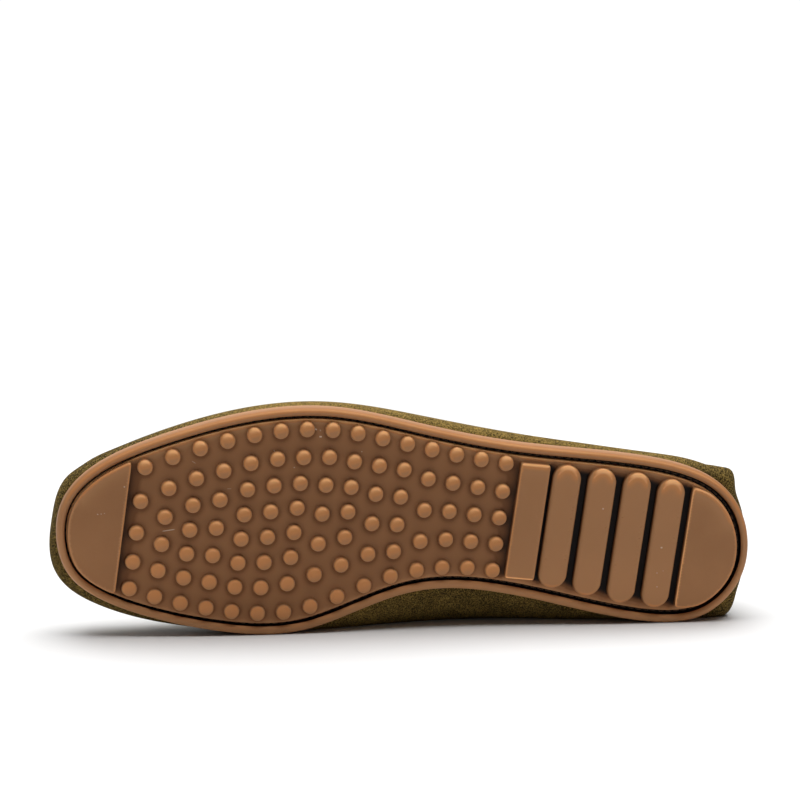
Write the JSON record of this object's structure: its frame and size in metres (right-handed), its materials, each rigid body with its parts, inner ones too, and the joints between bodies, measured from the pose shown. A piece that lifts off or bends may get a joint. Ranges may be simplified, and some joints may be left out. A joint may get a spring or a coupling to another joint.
{
  "type": "loafer",
  "caption": "Slip-on driving loafer with a hollow suede upper, insole and studded rubber outsole with bars at the heel, lying on its inner side to show the tread.",
  "frame": {"origin": "middle of the box under the shoe, on the floor", "axes": "toe toward -X, tread faces -Y, outer side of the shoe up (+Z)"},
  "size_m": [0.2942, 0.0748, 0.0958],
  "materials": {
    "gum_rubber": "satin gum rubber, caramel brown",
    "olive_suede": "olive suede with a short nap",
    "tan_leather": "plain tan sock leather"
  },
  "bodies": {
    "root": {"outsole": "gum_rubber", "upper": "olive_suede", "insole": "tan_leather"}
  },
  "joints": []
}
